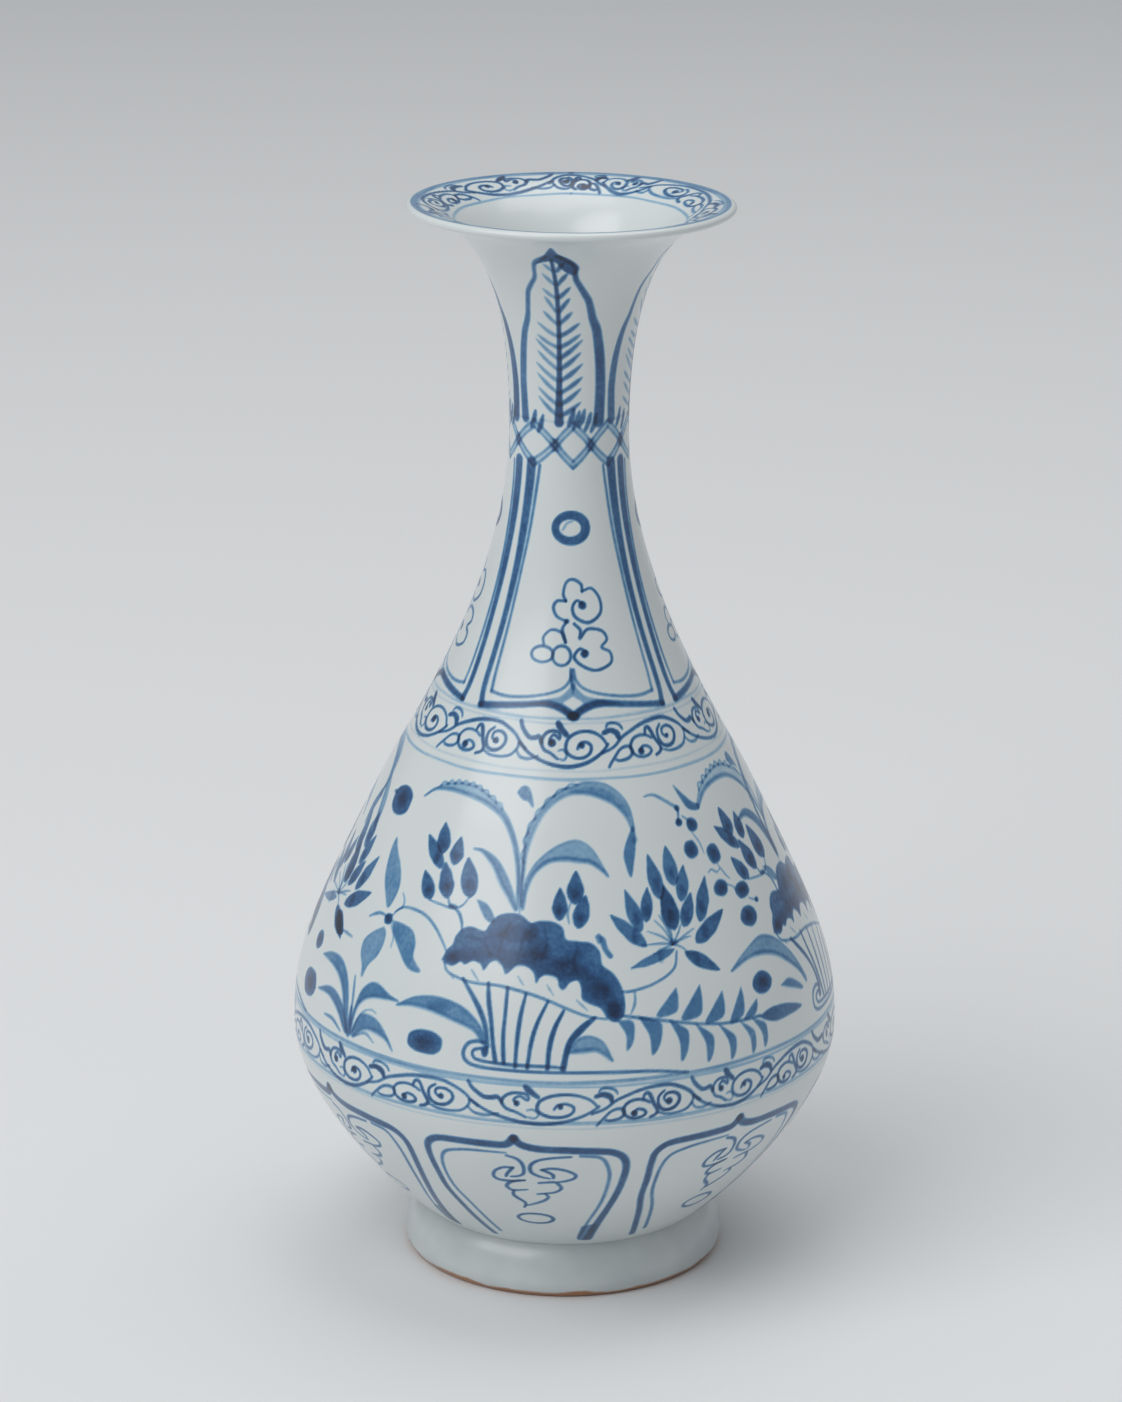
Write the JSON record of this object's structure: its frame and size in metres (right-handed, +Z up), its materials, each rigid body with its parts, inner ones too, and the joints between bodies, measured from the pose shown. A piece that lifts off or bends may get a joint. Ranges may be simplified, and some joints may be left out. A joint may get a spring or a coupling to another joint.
{
  "type": "porcelain bottle",
  "caption": "Pear-shaped porcelain bottle with a slender neck, flared mouth and splayed foot ring, painted in underglaze blue, for wine or flowers.",
  "frame": {"origin": "centre of the foot ring's resting face, on the bottle's axis", "axes": "+Z is up along the bottle's axis; -Y faces the viewer of the picture"},
  "size_m": [0.1478, 0.1478, 0.2911],
  "materials": {
    "painted_porcelain": "glossy clear glaze over underglaze cobalt painting",
    "glazed_foot": "glossy glaze, bare orange-brown paste at the resting edge",
    "slip": "fired slip, matt"
  },
  "bodies": {
    "root": {"foot_ring": "glazed_foot", "foot_slip": "slip", "lower_body": "painted_porcelain", "belly_slip": "slip", "upper_body": "painted_porcelain", "shoulder_slip": "slip", "neck": "painted_porcelain", "mouth_slip": "slip", "mouth": "painted_porcelain"}
  },
  "joints": []
}
